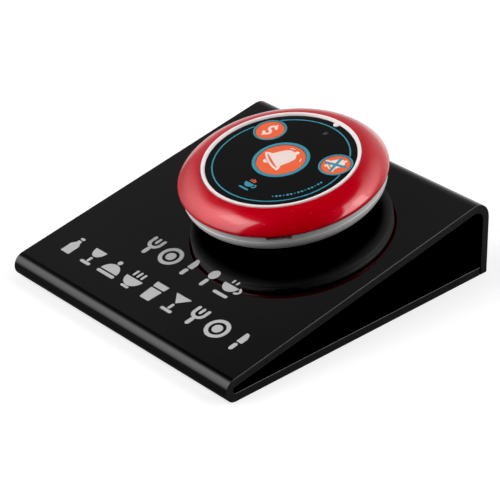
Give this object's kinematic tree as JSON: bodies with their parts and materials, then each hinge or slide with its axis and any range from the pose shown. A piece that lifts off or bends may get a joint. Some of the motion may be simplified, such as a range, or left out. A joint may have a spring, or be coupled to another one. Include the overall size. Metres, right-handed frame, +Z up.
{
  "type": "waiter call button",
  "caption": "Round push-button call unit with spring-return keys and a domed ring, stuck on a sloping stand of bent sheet.",
  "frame": {"origin": "centre of the stand's footprint, on the surface that it stands on", "axes": "+Z up, +Y towards the high back of the stand, +X to the right as seen by the user in front"},
  "size_m": [0.12, 0.1316, 0.0493],
  "materials": {
    "acrylic_black": "polished cast acrylic sheet, gloss black",
    "pad_foam": "grey adhesive foam",
    "shell_white": "moulded white plastic, satin gloss",
    "housing_white": "moulded white plastic, gloss",
    "bezel_red": "moulded red plastic with fine sparkle, high gloss",
    "film_black": "printed polyester film, satin",
    "key_orange": "printed key face, satin",
    "window_clear": "clear window",
    "lamp_clear": "tinted lamp",
    "board_green": "solder resist over glass laminate",
    "battery_jacket": "printed battery jacket",
    "contact_nickel": "nickel plated spring strip",
    "chip_black": "moulded chip",
    "can_metal": "tinned can",
    "antenna_copper": "enamelled copper wire",
    "component_ceramic": "ceramic chip parts",
    "switch_black": "moulded switch body",
    "plunger_white": "moulded switch plunger"
  },
  "bodies": {
    "stand_and_unit": {"acrylic_stand": "acrylic_black", "mounting_pad": "pad_foam", "bottom_shell": "shell_white", "bezel_ring": "bezel_red", "upper_housing": "housing_white", "label_overlay": "film_black", "led_window": "window_clear", "status_led": "lamp_clear", "circuit_board": "board_green", "battery": "battery_jacket", "battery_contact_positive": "contact_nickel", "battery_contact_negative": "contact_nickel", "radio_chip": "chip_black", "saw_resonator": "can_metal", "antenna_wire": "antenna_copper", "chip_components": "component_ceramic", "switch_body_call": "switch_black", "switch_body_bill": "switch_black", "switch_body_cancel": "switch_black"},
    "call_key": {"key_call": "key_orange", "switch_plunger_call": "plunger_white"},
    "bill_key": {"key_bill": "key_orange", "switch_plunger_bill": "plunger_white"},
    "cancel_key": {"key_cancel": "key_orange", "switch_plunger_cancel": "plunger_white"}
  },
  "joints": [
    {"name": "call_key_press", "type": "slide", "parent": "stand_and_unit", "child": "call_key", "axis": [0, 0.1771, -0.9842], "range_m": [0, 0.0003], "stiffness_N_per_m": 5000},
    {"name": "bill_key_press", "type": "slide", "parent": "stand_and_unit", "child": "bill_key", "axis": [0, 0.1771, -0.9842], "range_m": [0, 0.0003], "stiffness_N_per_m": 5000},
    {"name": "cancel_key_press", "type": "slide", "parent": "stand_and_unit", "child": "cancel_key", "axis": [0, 0.1771, -0.9842], "range_m": [0, 0.0003], "stiffness_N_per_m": 5000}
  ]
}
